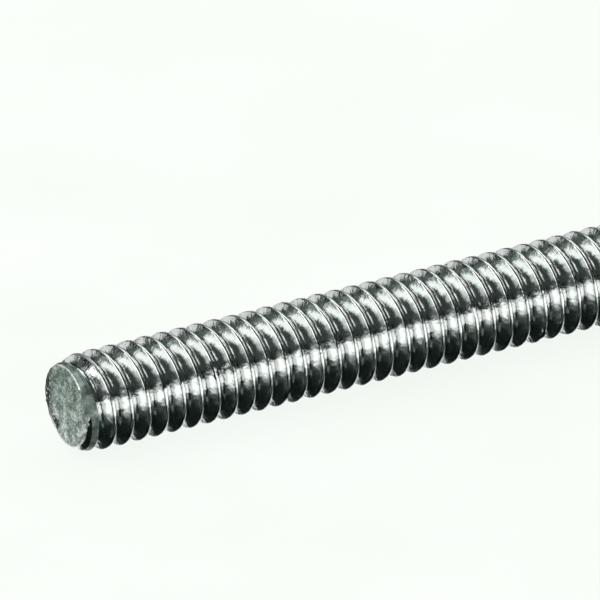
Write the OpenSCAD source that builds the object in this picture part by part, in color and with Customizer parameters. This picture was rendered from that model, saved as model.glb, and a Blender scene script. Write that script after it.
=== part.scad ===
// Fully threaded steel rod, cut square to length, with a long light taper at each cut end.
// It lies along X with its middle at the origin. The body is drawn at the thread's
// major diameter, which is the size that a clearance hole or a clamp meets. The fine
// right-hand thread is cut into the surface of this body and belongs to its finish.

/* [Rod] */
// Length over both cut ends, in mm
rod_length = 101.6; // [12:0.1:300]

/* [Thread] */
// Major diameter, over the crests of the thread, in mm
major_d = 6.35; // [3:0.05:24]

/* [Cut ends] */
// How far each end taper reaches in from the crests, in mm
taper_depth = 0.38; // [0.05:0.01:1.2]
// Angle between each end taper and the rod's axis, in degrees
taper_angle = 15; // [15:5:60]

/* [Hidden] */
$fn = 96;

crest_r = major_d / 2;
end_r = crest_r - taper_depth;
half_length = rod_length / 2;
taper_length = taper_depth / tan(taper_angle);

// Half of the lengthwise section: distance from the axis, then place along it.
half_section = [
    [0, -half_length],
    [end_r, -half_length],
    [crest_r, -half_length + taper_length],
    [crest_r, half_length - taper_length],
    [end_r, half_length],
    [0, half_length],
];

// One solid bar, turned about its axis and laid along X.
module threaded_rod() {
    color("silver")
    rotate([0, 90, 0])
    rotate_extrude()
    polygon(half_section);
}

threaded_rod();
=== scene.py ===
from math import atan2, cos, degrees, hypot, pi, radians, sin, tan

import bmesh
import bpy
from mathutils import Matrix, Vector


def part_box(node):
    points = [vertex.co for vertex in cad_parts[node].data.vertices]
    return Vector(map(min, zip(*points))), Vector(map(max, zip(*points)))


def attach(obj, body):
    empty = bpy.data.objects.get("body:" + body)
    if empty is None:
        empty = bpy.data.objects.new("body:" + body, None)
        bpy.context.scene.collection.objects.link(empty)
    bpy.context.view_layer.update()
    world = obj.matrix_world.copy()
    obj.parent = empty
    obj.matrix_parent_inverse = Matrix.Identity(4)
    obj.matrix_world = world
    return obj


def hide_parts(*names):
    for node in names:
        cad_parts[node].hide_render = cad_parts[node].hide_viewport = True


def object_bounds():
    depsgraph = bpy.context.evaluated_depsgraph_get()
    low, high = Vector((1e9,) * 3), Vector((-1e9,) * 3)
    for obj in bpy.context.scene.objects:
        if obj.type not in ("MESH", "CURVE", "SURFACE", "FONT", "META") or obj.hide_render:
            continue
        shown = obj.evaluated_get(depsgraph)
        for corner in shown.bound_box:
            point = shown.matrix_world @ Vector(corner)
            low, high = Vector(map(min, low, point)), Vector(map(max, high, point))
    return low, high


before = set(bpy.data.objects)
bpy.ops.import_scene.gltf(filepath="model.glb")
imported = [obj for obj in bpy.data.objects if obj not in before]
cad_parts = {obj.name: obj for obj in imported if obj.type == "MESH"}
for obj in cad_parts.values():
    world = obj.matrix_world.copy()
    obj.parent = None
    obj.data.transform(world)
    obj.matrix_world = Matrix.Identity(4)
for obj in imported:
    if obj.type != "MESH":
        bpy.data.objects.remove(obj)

cad_low, cad_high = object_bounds()

# ---------------------------------------------------------------- sizes of the rod, from the CAD box
# The rod lies along x.  Angles round it are in degrees: 0 on the side away from the viewer, 90 on top.
MM = 0.001                                    # everything is in metres
rod_low, rod_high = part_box("threaded_rod")
LENGTH = rod_high.x - rod_low.x
CREST = (rod_high.z - rod_low.z) / 2          # radius over the thread crests, 1/4 inch across
NEAR = rod_low.x                              # the cut end that faces the viewer
FAR = rod_high.x
NEARLY = 0.02 * MM                            # two places closer than this are taken as the same

# the thread
PITCH = 1.27 * MM                             # 20 threads to the inch
BEFORE, AFTER = 2, 1                          # turns wound past the near and far ends, to be cut off
TURNS = BEFORE + round(LENGTH / PITCH) + AFTER
STEPS = 64                                    # facets round one turn
START = 0.05                                  # where along a pitch the crest passes the top at the near end
WELD = 0.002 * MM                             # the wound turns share points closer than this
WAVE, WANDER = 1.3 * MM, 0.05 * MM            # width of the waves in the rolled surface, and their height
HARD_EDGE = radians(42)                       # faces that meet more sharply than this keep a crisp edge

# One side of the thread form, in shares of the pitch: distance from the middle of the crest, and
# depth below it.  A rolled 60 degree thread: flat crest with a hard shoulder, flank, soft round root.
HALF_THREAD = [
    (0.07, 0.006), (0.09, 0.022), (0.11, 0.075), (0.15, 0.180), (0.22, 0.322),
    (0.30, 0.462), (0.36, 0.532), (0.43, 0.580), (0.50, 0.600),
]

# the bar that trims the thread to its length
RIM = CREST - 0.38 * MM                       # radius of each end, where its light taper runs out
SPARE = 0.12 * MM                             # how far the trimming bar stands outside the crests
LEAN = radians(15)                            # angle of the taper
TAPER = (CREST - RIM + SPARE) / tan(LEAN)     # length of the taper
DRUM_SIDES = 96                               # facets round a drum that a cut end starts from
SEAM = 0.0005 * MM                            # points left closer than this by the trimming are one

# the cut ends
DISC = 0.75 * CREST                           # the torn middle of a cut end, inside its rolled rim
ASIDE = (0.09 * CREST, 0.066 * CREST)         # how far, in y and z, the torn middle sits off the axis
RINGS = 3                                     # rings of faces between the torn middle and the rim
END_DEPTH = 0.30 * MM                         # whatever lies this close to an end belongs to its cut
SQUARE = 0.9                                  # least lean along the rod of a face that closes an end
ENDWISE = 0.2                                 # least lean along the rod of a face that belongs to a cut
TAPERED = 0.3                                 # faces that lean less than this lie on the taper
BURR_WIDTH = 0.05 * MM                        # how far the burr reaches to each side of the torn edge
BURR_BEVEL = 0.06 * MM                        # the edge is split this wide before the burr is raised
BURR = (62, 132)                              # stretch of the upper edge, in degrees, with a burr
SMOOTH = (60, 175)                            # stretch of the rim that the blade smeared smooth
GRAIN = 0.11 * MM                             # spacing of the points that carry the torn surface
OFF_CENTRE = 0.37                             # shifts the net, so that no cut runs through a drum's point
LUMP_WIDTH, GRAIN_WIDTH = 0.55 * MM, 0.13 * MM     # of the lumps and grains it is torn into

# the lip of steel dragged over the last groove at the foot of the near end
LIP = 0.765 * CREST                           # radius of the plate that makes the lip
LIP_THICK = 0.30 * MM                         # thickness of that plate along the rod
LIP_PLACE = NEAR + 0.02 * MM                  # middle of its thickness
LIP_WAY = radians(247)                        # the way it was dragged
LIP_ASIDE = (0.075 * CREST * cos(LIP_WAY), 0.075 * CREST * sin(LIP_WAY))
LIP_DRAFT = 0.95                              # its inner edge is this much smaller
LIP_RAGGED = (180, 320)                       # stretch of its edge that is torn ragged
LIP_TEAR = 0.035 * MM                         # and how deep the tears go
LIP_STEP = (293, 301)                         # stretch where its edge steps inwards
LIP_STEP_IN = 0.93                            # and what is left of its radius there
NICK = (NEAR, 1.55 * MM, -1.72 * MM)          # where a flake broke away from the rim of the near end, shown only by painted shade

# Knocks on the crests: distance from the near end, angle round the rod, and how deep they go.
BRUISES = [
    (5.6 * MM, 153, 0.06 * MM), (9.4 * MM, 152, 0.10 * MM), (28.2 * MM, 152, 0.10 * MM),
    (14.9 * MM, 206, 0.09 * MM), (33.9 * MM, 211, 0.08 * MM),
]
BRUISE = 0.55 * MM                            # radius of one knock


# ---------------------------------------------------------------- small workshop helpers
def alone(piece):
    """Make one piece the only selected and active one."""
    bpy.ops.object.select_all(action="DESELECT")
    piece.select_set(True)
    bpy.context.view_layer.objects.active = piece


def edit(piece):
    """Open one piece in edit mode, ready to pick points, with nothing selected."""
    alone(piece)
    bpy.ops.object.mode_set(mode="EDIT")
    bpy.ops.mesh.select_mode(type="VERT")
    bpy.ops.mesh.select_all(action="DESELECT")


def leave():
    """Close edit mode."""
    bpy.ops.object.mode_set(mode="OBJECT")


def pick(piece, kind, wanted):
    """In edit mode, select the faces or points whose middle and normal pass the test."""
    bpy.ops.mesh.select_mode(type=kind)
    bpy.ops.mesh.select_all(action="DESELECT")
    body = bmesh.from_edit_mesh(piece.data)
    if kind == "FACE":
        for face in body.faces:
            if wanted(face.calc_center_median(), face.normal):
                face.select_set(True)
    else:
        for point in body.verts:
            if wanted(point.co, point.normal):
                point.select_set(True)
    body.select_flush_mode()
    bmesh.update_edit_mesh(piece.data)


def fasten(piece, kind, **settings):
    """Put a modifier on a piece and apply it."""
    alone(piece)
    added = piece.modifiers.new(kind.title(), kind)
    for key, value in settings.items():
        setattr(added, key, value)
    bpy.ops.object.modifier_apply(modifier=added.name)


def around(co):
    """Angle of a place round the rod, in degrees."""
    return degrees(atan2(co.z, co.y)) % 360


def within(co, stretch):
    """Whether a place lies inside a stretch of angles round the rod."""
    return stretch[0] < around(co) < stretch[1]


def out(co):
    """Distance of a place from the rod's axis."""
    return hypot(co.y, co.z)


def off_middle(co):
    """Distance of a place from the middle of the torn disc, which sits off the axis."""
    return hypot(co.y - ASIDE[0], co.z - ASIDE[1])


def end_of(side):
    """Where an end is: side is -1 at the near end and 1 at the far end."""
    return NEAR if side < 0 else FAR


def on_cap(side, co, normal):
    """Whether a face belongs to a cut end, inside the taper."""
    return normal.x * side > ENDWISE and abs(co.x - end_of(side)) < END_DEPTH and out(co) < RIM + NEARLY


# ---------------------------------------------------------------- finishes
def linear(code):
    """sRGB hex colour to the linear values a shader takes."""
    parts = [int(code[i:i + 2], 16) / 255 for i in (1, 3, 5)]
    return [c / 12.92 if c <= 0.04045 else ((c + 0.055) / 1.055) ** 2.4 for c in parts] + [1.0]


def add(tree, kind, links=None, **settings):
    """Add one node.  Settings are its attributes, or its inputs by name with _ for a space.  Links are
    input: (node, output), by name, or by number where two sockets share a name."""
    node = tree.nodes.new("ShaderNode" + kind)
    for key, value in settings.items():
        if hasattr(node, key):
            setattr(node, key, value)
        else:
            node.inputs[key.replace("_", " ")].default_value = value
    for key, (source, output) in (links or {}).items():
        tree.links.new(source.outputs[output], node.inputs[key])
    return node


def patch(width):
    """Scale of a pattern whose patches are this wide: how many of them fit in a metre."""
    return 1 / width


def new_finish(name):
    """An empty material, and its node tree."""
    finish = bpy.data.materials.new(name)
    finish.use_nodes = True
    tree = finish.node_tree
    tree.nodes.clear()
    return finish, tree


def ramp(tree, source, stops, output="Fac"):
    """A colour ramp with hex colours at its stops."""
    node = add(tree, "ValToRGB", {"Fac": (source, output)})
    bar = node.color_ramp
    bar.elements[0].position, bar.elements[0].color = stops[0][0], linear(stops[0][1])
    bar.elements[1].position, bar.elements[1].color = stops[-1][0], linear(stops[-1][1])
    for place, colour in stops[1:-1]:
        bar.elements.new(place).color = linear(colour)
    return node


def how_far(tree, place, spot):
    """Distance from one fixed spot."""
    node = add(tree, "VectorMath", {0: (place, "Object")}, operation="DISTANCE")
    node.inputs[1].default_value = spot
    return node


def zinc_plated_thread():
    """Bright zinc plate over a cold rolled thread: a hard, high-contrast mirror of the room, a little
    cloudy, whose reflections have uneven edges because the plate is rippled."""
    finish, tree = new_finish("bright_zinc_plate")
    place = add(tree, "TexCoord")
    cloud = add(tree, "TexNoise", {"Vector": (place, "Object")},
                Scale=patch(1.1 * MM), Detail=3.0, Roughness=0.6)
    tone = ramp(tree, cloud, [(0.30, "#E2E8E5"), (0.70, "#F3F6F4")])
    gloss = add(tree, "MapRange", {"Value": (cloud, "Fac")},
                From_Min=0.3, From_Max=0.7, To_Min=0.12, To_Max=0.18)
    ripple = add(tree, "TexNoise", {"Vector": (place, "Object")}, Scale=patch(0.38 * MM), Detail=4.0)
    dents = add(tree, "Bump", {"Height": (ripple, "Fac")}, Strength=1.0, Distance=0.035 * MM)
    steel = add(tree, "BsdfPrincipled", {"Base Color": (tone, "Color"), "Roughness": (gloss, "Result"),
                                         "Normal": (dents, "Normal")}, Metallic=1.0)
    add(tree, "OutputMaterial", {"Surface": (steel, "BSDF")})
    return finish


def sheared_steel():
    """The cut face: bare steel torn by the shear, dull grey-green, granular, with bright specks where a
    grain lies flat, painted into its colour as glints; partly matt, because the grain is finer than the eye
    can follow."""
    finish, tree = new_finish("sheared_bare_steel")
    place = add(tree, "TexCoord")
    blotch = add(tree, "TexNoise", {"Vector": (place, "Object")},
                 Scale=patch(0.62 * MM), Detail=3.0, Roughness=0.6)
    speck = add(tree, "TexNoise", {"Vector": (place, "Object")},
                Scale=patch(0.125 * MM), Detail=3.0, Roughness=0.7)
    both = add(tree, "Math", {0: (blotch, "Fac"), 1: (speck, "Fac")}, operation="ADD")
    grain = add(tree, "MapRange", {"Value": (both, "Value")}, From_Min=0.7, From_Max=1.3)
    # the grain's tone at random, with its palest specks painted in as glints
    grain_tones_and_painted_glints = [(0.15, "#5E6D65"), (0.42, "#A0AFA6"), (0.62, "#C9D6CE"), (0.78, "#FFFFFF")]
    tone = ramp(tree, grain, grain_tones_and_painted_glints, "Result")

    # painted shade: the upper part, which the blade rubbed smooth, is painted darker than the torn lower
    # part
    spot = add(tree, "SeparateXYZ", {"Vector": (place, "Object")})
    height = add(tree, "MapRange", {"Value": (spot, "Z")}, From_Min=-1.8 * MM, From_Max=1.4 * MM)
    painted_top_shade = ramp(tree, height, [(0.0, "#FFFFFF"), (1.0, "#CBD5CF")], "Result")
    face = add(tree, "VectorMath", {0: (tone, "Color"), 1: (painted_top_shade, "Color")}, operation="MULTIPLY")

    # painted shade: dark pits a fifth of a millimetre across, along the rim where the tear began and the
    # edge falls away, and in the nick
    rim_shade_noise = add(tree, "TexNoise", {"Vector": (place, "Object")}, Scale=patch(0.22 * MM), Detail=2.0)
    painted_rim_shade = ramp(tree, rim_shade_noise, [(0.40, "#141B18"), (0.53, "#3E4943"), (0.60, "#7A877F"), (0.67, "#F4FAF6")])
    rim = add(tree, "MapRange", {"Value": (spot, "Y")}, From_Min=1.6 * MM, From_Max=2.2 * MM)
    gap = how_far(tree, place, NICK)
    chip = add(tree, "MapRange", {"Value": (gap, "Value")}, From_Min=0.65 * MM, From_Max=0.45 * MM)
    where = add(tree, "Math", {0: (rim, "Result"), 1: (chip, "Result")}, operation="MAXIMUM")
    # sockets 6, 7 and output 2 are the colour ones of this node
    face_with_rim_shade = add(tree, "Mix", {0: (where, "Value"), 6: (face, "Vector"), 7: (painted_rim_shade, "Color")},
               data_type="RGBA")

    # painted highlight: the edge of the lip dragged out at the foot is painted bright, most on its lower
    # part
    foot = how_far(tree, place, (NEAR, LIP_ASIDE[0], LIP_ASIDE[1]))
    edge = add(tree, "MapRange", {"Value": (foot, "Value")},
               From_Min=0.68 * CREST, From_Max=0.74 * CREST)
    below = add(tree, "MapRange", {"Value": (spot, "Z")},
                From_Min=-1.0 * MM, From_Max=-1.7 * MM, To_Max=0.9)
    bright = add(tree, "Math", {0: (edge, "Result"), 1: (below, "Result")}, operation="MULTIPLY")
    lit = add(tree, "VectorMath", {0: (face_with_rim_shade, 2), 1: (bright, "Value")}, operation="MAXIMUM")

    gloss = add(tree, "MapRange", {"Value": (speck, "Fac")},
                From_Min=0.3, From_Max=0.7, To_Min=0.50, To_Max=0.28)
    tooth = add(tree, "Bump", {"Height": (speck, "Fac")}, Strength=0.9, Distance=0.05 * MM)
    steel = add(tree, "BsdfPrincipled", {"Base Color": (lit, "Vector"), "Roughness": (gloss, "Result"),
                                         "Normal": (tooth, "Normal")}, Metallic=0.7)
    add(tree, "OutputMaterial", {"Surface": (steel, "BSDF")})
    return finish


def dressed_steel():
    """The smeared rim and the cut-down crests beside the cut face: bare steel rubbed to a satin grey."""
    finish, tree = new_finish("filed_bare_steel")
    place = add(tree, "TexCoord")
    blotch = add(tree, "TexNoise", {"Vector": (place, "Object")},
                 Scale=patch(0.67 * MM), Detail=4.0, Roughness=0.6)
    tone = ramp(tree, blotch, [(0.35, "#55645C"), (0.50, "#82918A"), (0.65, "#B4C1BA")])

    # the plate is left on the highest part of the cut-down crests, and a paler line is painted along their
    # edge as a highlight
    across = add(tree, "VectorMath", {0: (place, "Object")}, operation="MULTIPLY")
    across.inputs[1].default_value = (0, 1, 1)
    reach = add(tree, "VectorMath", {0: (across, "Vector")}, operation="LENGTH")
    edge = add(tree, "MapRange", {"Value": (reach, "Value")},
               From_Min=CREST - 0.14 * MM, From_Max=CREST - 0.05 * MM, To_Max=0.40)
    plate = add(tree, "VectorMath", {0: (tone, "Color"), 1: (edge, "Result")}, operation="MAXIMUM")

    grain = add(tree, "TexNoise", {"Vector": (place, "Object")}, Scale=patch(0.17 * MM), Detail=2.0)
    tooth = add(tree, "Bump", {"Height": (grain, "Fac")}, Strength=0.5, Distance=0.03 * MM)
    steel = add(tree, "BsdfPrincipled", {"Base Color": (plate, "Vector"), "Normal": (tooth, "Normal")},
                Metallic=0.75, Roughness=0.40)
    add(tree, "OutputMaterial", {"Surface": (steel, "BSDF")})
    return finish


def burr_painted_highlight_steel():
    """The burr round the upper part of the cut face: bare steel with a painted highlight, pale and partly
    matt, so that it shows as a bright satin line whichever way it faces."""
    finish, tree = new_finish("burr_with_painted_highlight")
    place = add(tree, "TexCoord")
    burr_mottle = add(tree, "TexNoise", {"Vector": (place, "Object")}, Scale=patch(0.20 * MM), Detail=2.0)
    tone = ramp(tree, burr_mottle, [(0.35, "#C6D2CC"), (0.60, "#FAFDFB")])
    scuff = add(tree, "Bump", {"Height": (burr_mottle, "Fac")}, Strength=0.4, Distance=0.02 * MM)
    steel = add(tree, "BsdfPrincipled", {"Base Color": (tone, "Color"), "Normal": (scuff, "Normal")},
                Metallic=0.5, Roughness=0.38)
    add(tree, "OutputMaterial", {"Surface": (steel, "BSDF")})
    return finish


def pale_table_top():
    """A matt white table lit from within: near white with a breath of green, and only a faint shadow."""
    finish, tree = new_finish("pale_table_top")
    place = add(tree, "TexCoord")
    mottle = add(tree, "TexNoise", {"Vector": (place, "Object")}, Scale=patch(17 * MM), Detail=2.0)
    tone = ramp(tree, mottle, [(0.3, "#F8FDF8"), (0.7, "#FBFFFB")])
    dull = ramp(tree, mottle, [(0.3, "#4B4D4A"), (0.7, "#4F514E")])
    top = add(tree, "BsdfPrincipled", {"Base Color": (dull, "Color"), "Emission Color": (tone, "Color")},
              Roughness=0.9, Emission_Strength=0.905)
    add(tree, "OutputMaterial", {"Surface": (top, "BSDF")})
    return finish


# The rod's finishes, in the order of its material slots.  Every face starts in slot 0, as zinc plate.
finishes = [zinc_plated_thread(), sheared_steel(), dressed_steel(), burr_painted_highlight_steel()]
SHEARED, DRESSED, BURR_HIGHLIGHT = 1, 2, 3


def coat(piece):
    """Give a piece all of the rod's finishes."""
    for finish in finishes:
        piece.data.materials.append(finish)


# ---------------------------------------------------------------- the thread
def roll_thread():
    """One pitch of the thread form is drawn point by point and wound round the rod's axis."""
    form = [(-along, deep) for along, deep in reversed(HALF_THREAD)] + HALF_THREAD
    first = Vector((NEAR + PITCH * (START - BEFORE + form[0][0]), 0, CREST - PITCH * form[0][1]))
    bpy.ops.object.select_all(action="DESELECT")
    bpy.ops.mesh.primitive_plane_add(size=PITCH, location=first)
    wound = bpy.context.active_object
    bpy.ops.object.transform_apply(location=True, rotation=True, scale=True)
    edit(wound)
    bpy.ops.mesh.select_all(action="SELECT")
    bpy.ops.mesh.merge(type="CENTER")
    for (here, depth), (there, next_depth) in zip(form, form[1:]):
        bpy.ops.mesh.extrude_vertices_move(
            TRANSFORM_OT_translate={"value": (PITCH * (there - here), 0, -PITCH * (next_depth - depth))})
    leave()
    fasten(wound, "SCREW", axis="X", angle=2 * pi, screw_offset=PITCH, iterations=TURNS,
           steps=STEPS, render_steps=STEPS, use_merge_vertices=False, use_smooth_shade=True)
    edit(wound)
    bpy.ops.mesh.select_all(action="SELECT")
    bpy.ops.mesh.remove_doubles(threshold=WELD)
    # close both ragged ends with a fan down to one point, outside what is kept
    for side in (-1, 1):
        body = bmesh.from_edit_mesh(wound.data)
        bpy.ops.mesh.select_all(action="DESELECT")
        bpy.ops.mesh.select_mode(type="EDGE")
        for edge in body.edges:
            if edge.is_boundary and side * edge.verts[0].co.x > 0:
                edge.select_set(True)
        bmesh.update_edit_mesh(wound.data)
        bpy.ops.mesh.extrude_edges_move()
        bpy.ops.mesh.merge(type="CENTER")
    bpy.ops.mesh.select_all(action="SELECT")
    bpy.ops.mesh.normals_make_consistent(inside=False)
    leave()
    coat(wound)
    return wound


def ripple_thread(thread):
    """Let the rolled surface wander a few hundredths, so that no two turns mirror the room alike."""
    cloud = bpy.data.textures.new("rolled_waves", "CLOUDS")
    cloud.noise_scale = WAVE
    fasten(thread, "DISPLACE", texture=cloud, texture_coords="LOCAL", strength=WANDER, mid_level=0.5)


def bruise(rod, along, angle, deep, seed):
    """A knock from handling: the crests round one spot are bruised unevenly."""
    centre = Vector((NEAR + along, CREST * cos(radians(angle)), CREST * sin(radians(angle))))
    edit(rod)
    pick(rod, "VERT", lambda co, normal: (co - centre).length < BRUISE)
    bpy.ops.transform.vertex_random(offset=deep, uniform=0.0, normal=1.0, seed=seed)
    leave()


# ---------------------------------------------------------------- the cut ends
def add_drum(radius, depth, centre):
    """A plain drum along x, with the rod's finishes ready in its slots."""
    bpy.ops.object.select_all(action="DESELECT")
    bpy.ops.mesh.primitive_cylinder_add(vertices=DRUM_SIDES, radius=radius, depth=depth, location=centre,
                                        end_fill_type="NGON", rotation=(0, pi / 2, 0))
    drum = bpy.context.active_object
    bpy.ops.object.transform_apply(location=True, rotation=True, scale=True)
    coat(drum)
    return drum


def turn_bar():
    """A bar a hair wider than the crests, drawn down to the light taper at each end."""
    bar = add_drum(CREST + SPARE, LENGTH - 2 * TAPER, (0, 0, 0))
    small = RIM / (CREST + SPARE)
    for side in (-1, 1):
        edit(bar)
        pick(bar, "FACE", lambda co, normal: normal.x * side > SQUARE)
        bpy.ops.mesh.extrude_region_move(TRANSFORM_OT_translate={"value": (side * TAPER, 0, 0)})
        bpy.ops.transform.resize(value=(1, small, small), center_override=(end_of(side), 0, 0))
        leave()
    return bar


def roll_rim(bar, side, tip, burr):
    """Tip the whole end back at the top by some degrees, as a shear leaves it, then ring it with faces
    that step by step come back square, and raise a thin burr along the upper edge of the torn middle."""
    end = end_of(side)
    foot = (end, 0, -RIM)
    edit(bar)
    pick(bar, "FACE", lambda co, normal: normal.x * side > SQUARE)
    bpy.ops.transform.rotate(value=side * radians(tip), orient_axis="Y", center_override=foot)
    for ring in range(RINGS):
        bpy.ops.mesh.inset(thickness=(RIM - DISC) / RINGS)
        bpy.ops.transform.translate(value=(0, ASIDE[0] / RINGS, ASIDE[1] / RINGS))
        bpy.ops.transform.rotate(value=-side * radians(tip) / RINGS, orient_axis="Y",
                                 center_override=foot)

    def on_edge(co, normal):
        """Whether a point lies on the edge of the torn middle, where the burr is."""
        return abs(co.x - end) < NEARLY and abs(off_middle(co) - DISC) < NEARLY and within(co, BURR)

    if burr:
        pick(bar, "VERT", on_edge)
        bpy.ops.mesh.bevel(offset=BURR_BEVEL, segments=2, affect="EDGES")
        pick(bar, "VERT", on_edge)
        bpy.ops.transform.translate(value=(side * burr, 0, 0))
    leave()


def tear_face(bar, side, lump, grain):
    """Cut the end into a fine square net and push its points in and out: lumps, then fine grain."""
    end = end_of(side)
    edit(bar)
    count = int(RIM / GRAIN) + 1
    for axis in (1, 2):
        for cut in range(-count, count + 1):
            pick(bar, "FACE", lambda co, normal: on_cap(side, co, normal))
            spot = [end, 0, 0]
            spot[axis] = (cut + OFF_CENTRE) * GRAIN
            way = [0, 0, 0]
            way[axis] = 1
            bpy.ops.mesh.bisect(plane_co=spot, plane_no=way)
    torn = bar.vertex_groups.new(name="torn")
    bar.vertex_groups.active_index = torn.index
    pick(bar, "VERT", lambda co, normal: abs(co.x - end) < END_DEPTH and out(co) < RIM + NEARLY
         and (off_middle(co) < DISC - BURR_WIDTH or not within(co, SMOOTH)))
    bpy.ops.object.vertex_group_assign()
    leave()
    for name, width, amount in (("torn_lumps", LUMP_WIDTH, lump), ("torn_grain", GRAIN_WIDTH, grain)):
        cloud = bpy.data.textures.new(name, "CLOUDS")
        cloud.noise_scale = width
        cloud.noise_depth = 2
        cloud.noise_type = "HARD_NOISE"
        fasten(bar, "DISPLACE", texture=cloud, texture_coords="LOCAL", direction="X", strength=amount,
               mid_level=0.5, vertex_group="torn")
    bar.vertex_groups.clear()


def finish_of(face):
    """Which finish a face of the bar's ends has: torn in the middle and along the rim where the tear began,
    smeared along the rest of the rim and on the taper, with a painted highlight on the burr between them."""
    past = off_middle(face.center) - DISC
    smeared = within(face.center, SMOOTH) or abs(face.normal.x) < TAPERED
    if past < -BURR_WIDTH or not smeared:
        return SHEARED
    if past > BURR_WIDTH or not within(face.center, BURR):
        return DRESSED
    return BURR_HIGHLIGHT


def make_trimming_bar():
    """The bar that cuts the thread to length and leaves its own two ends on it."""
    bar = turn_bar()
    roll_rim(bar, -1, tip=1.9, burr=0.07 * MM)
    roll_rim(bar, 1, tip=0.8, burr=0.0)
    tear_face(bar, -1, lump=0.06 * MM, grain=0.08 * MM)
    tear_face(bar, 1, lump=0.04 * MM, grain=0.05 * MM)
    for face in bar.data.polygons:
        if abs(face.normal.x) > ENDWISE:
            face.material_index = finish_of(face)
    return bar


def smear_lip():
    """Steel the shear dragged down over the groove at the foot of the near end: a thin ragged plate,
    set a little low, that closes the groove from below."""
    lip = add_drum(LIP, LIP_THICK, (LIP_PLACE, LIP_ASIDE[0], LIP_ASIDE[1]))
    edit(lip)
    pick(lip, "VERT", lambda co, normal: co.x > NEAR)
    bpy.ops.transform.resize(value=(1, LIP_DRAFT, LIP_DRAFT), center_override=(0, 0, 0))
    pick(lip, "VERT", lambda co, normal: within(co, LIP_RAGGED))
    bpy.ops.transform.vertex_random(offset=LIP_TEAR, seed=5)
    # the step at the lower left, beside the nick
    pick(lip, "VERT", lambda co, normal: within(co, LIP_STEP))
    bpy.ops.transform.resize(value=(1, LIP_STEP_IN, LIP_STEP_IN), center_override=(0, 0, 0))
    leave()
    for face in lip.data.polygons:
        face.material_index = SHEARED
    return lip


# ---------------------------------------------------------------- the rod
def make_rod():
    """Join the lip to the wound thread, trim both with the bar, and knock a few crests."""
    rod = roll_thread()
    ripple_thread(rod)
    bar = make_trimming_bar()
    lip = smear_lip()
    fasten(rod, "BOOLEAN", operation="UNION", solver="EXACT", object=lip)
    fasten(rod, "BOOLEAN", operation="INTERSECT", solver="EXACT", object=bar)
    bpy.data.objects.remove(lip)
    bpy.data.objects.remove(bar)
    rod.name = "zinc_plated_threaded_rod"
    edit(rod)
    bpy.ops.mesh.select_all(action="SELECT")
    bpy.ops.mesh.remove_doubles(threshold=SEAM)
    leave()
    for number, (along, angle, deep) in enumerate(BRUISES):
        bruise(rod, along, angle, deep, seed=number + 1)
    alone(rod)
    bpy.ops.object.shade_smooth_by_angle(angle=HARD_EDGE)
    return rod


rod = make_rod()
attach(rod, "root")
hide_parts("threaded_rod")


# ---------------------------------------------------------------- table, light and camera
TABLE = 3.0                                   # width of the table


def lay_table():
    """A plain pale table under the rod.  Mirrors don't see it, and it blocks no lamp."""
    bpy.ops.object.select_all(action="DESELECT")
    bpy.ops.mesh.primitive_plane_add(size=TABLE, location=(0, 0, cad_low.z))
    table = bpy.context.active_object
    table.name = "pale_table"
    table.data.materials.append(pale_table_top())
    table.visible_glossy = False
    table.visible_shadow = False


def softbox(name, azimuth, elevation, wide, tall, brightness, tint):
    """A flat lamp that faces the rod from a metre away: its direction, and its width and height, all in
    degrees.  Only mirrors see it, so it draws the reflections and leaves the table evenly lit."""
    turn, rise = radians(azimuth), radians(elevation)
    lamp = bpy.data.lights.new(name, "AREA")
    lamp.shape = "RECTANGLE"
    lamp.size = 2 * tan(radians(wide / 2))
    lamp.size_y = 2 * tan(radians(tall / 2))
    lamp.energy = brightness * lamp.size * lamp.size_y * pi
    lamp.color = linear(tint)[:3]
    piece = bpy.data.objects.new(name, lamp)
    bpy.context.scene.collection.objects.link(piece)
    piece.location = (cos(rise) * cos(turn), cos(rise) * sin(turn), sin(rise))
    piece.rotation_euler = Vector(piece.location).to_track_quat("Z", "Y").to_euler()
    piece.visible_camera = False
    piece.visible_diffuse = False


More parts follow.
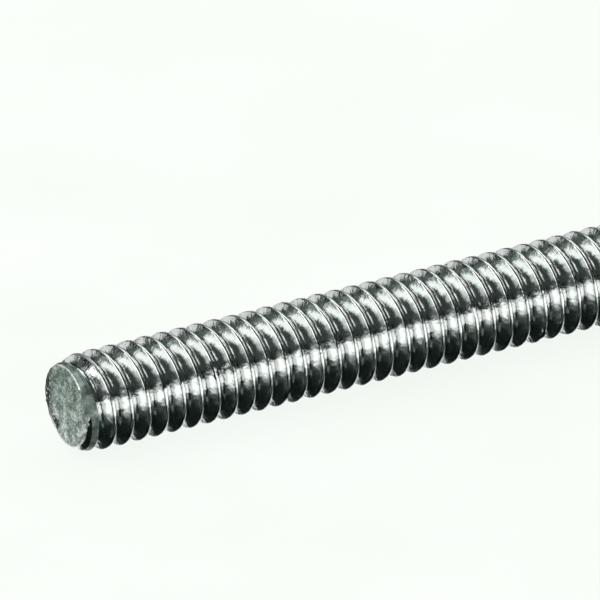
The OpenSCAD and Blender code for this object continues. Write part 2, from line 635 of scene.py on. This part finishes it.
# Name, azimuth, elevation, width, height, brightness and tint.  The thread's flanks turn every way, so
# each band of light or shade on it is one of these lamps or a gap between two of them.
CLEAR, GREENISH = "#FFFFFF", "#CDE2D8"        # a white lamp, and one dimmed by a pale green screen
SOFTBOXES = [
    # the bright stripe along the side that faces the viewer, and its brightest part
    ("front_strip", 285, -5, 96, 31, 0.93, CLEAR),
    ("front_key", 306, -8, 26, 50, 0.78, CLEAR),
    # the light flanks that face the near end
    ("left_strip", 175, 16, 48, 30, 2.00, CLEAR),
    ("left_high", 155, 42, 28, 30, 0.70, CLEAR),
    ("left_haze", 130, 22, 18, 30, 0.12, GREENISH),
    # the light on the upper part of the turns, from behind the rod, above it and past its far end
    ("back_strip", 112, -2, 34, 14, 0.78, CLEAR),
    ("back_low", 75, -30, 70, 30, 0.36, GREENISH),
    ("side_low", 50, -28, 70, 66, 0.85, CLEAR),
    ("side_middle", 60, 20, 40, 30, 0.38, GREENISH),
    ("side_top", 50, 57, 64, 28, 1.30, CLEAR),
    ("right_small", 348, 40, 30, 22, 0.75, CLEAR),
    ("front_top", 225, 58, 28, 26, 0.90, CLEAR),
    # the cut face, from low down on the left
    ("face_low", 130, -26, 40, 22, 1.00, CLEAR),
    # faint light that keeps the dark parts from going black, and draws the crests low on the turns
    ("ceiling", 0, 90, 120, 120, 0.045, GREENISH),
    ("front_low", 300, -40, 70, 24, 0.06, GREENISH),
    ("under_front", 235, -54, 40, 14, 0.22, GREENISH),
    ("right_low", 358, -45, 36, 14, 0.32, GREENISH),
]


def set_room():
    """A white room for matt surfaces, and a dim grey-green one for what mirrors see past the lamps."""
    world = bpy.data.worlds.new("studio")
    world.use_nodes = True
    tree = world.node_tree
    tree.nodes.clear()
    ray = add(tree, "LightPath")
    room = add(tree, "Background", Color=linear("#FFFFFF"), Strength=1.0)
    dim = add(tree, "Background", Color=linear("#2A3A36"), Strength=0.2)
    choice = add(tree, "MixShader",
                 {0: (ray, "Is Glossy Ray"), 1: (room, "Background"), 2: (dim, "Background")})
    add(tree, "OutputWorld", {"Surface": (choice, "Shader")})
    bpy.context.scene.world = world


def set_viewer():
    """The viewer stands off the near end, 31 degrees round to the left and 24 degrees up, with a long
    lens, and looks at a point beside that end, so that the rod runs out of the right of the view."""
    turn, rise = radians(31), radians(24)
    right = Vector((cos(turn), -sin(turn), 0))
    back = Vector((-sin(turn) * cos(rise), -cos(turn) * cos(rise), sin(rise)))
    above = back.cross(right)
    past, over = 14.62 * MM, 6.69 * MM        # from the near end to the middle of the view
    aim = Vector((NEAR, 0, 0)) + right * past + above * over
    away = 1.25                               # and from there to the viewer
    lens = bpy.data.cameras.new("viewer")
    lens.sensor_width = 36
    lens.lens = 1194
    lens.clip_start = 0.01
    lens.clip_end = 10
    viewer = bpy.data.objects.new("viewer", lens)
    bpy.context.scene.collection.objects.link(viewer)
    viewer.location = aim + back * away
    viewer.rotation_euler = back.to_track_quat("Z", "Y").to_euler()
    bpy.context.scene.camera = viewer
    bpy.context.scene.view_settings.view_transform = "Standard"


lay_table()
for box_light in SOFTBOXES:
    softbox(*box_light)
set_room()
set_viewer()
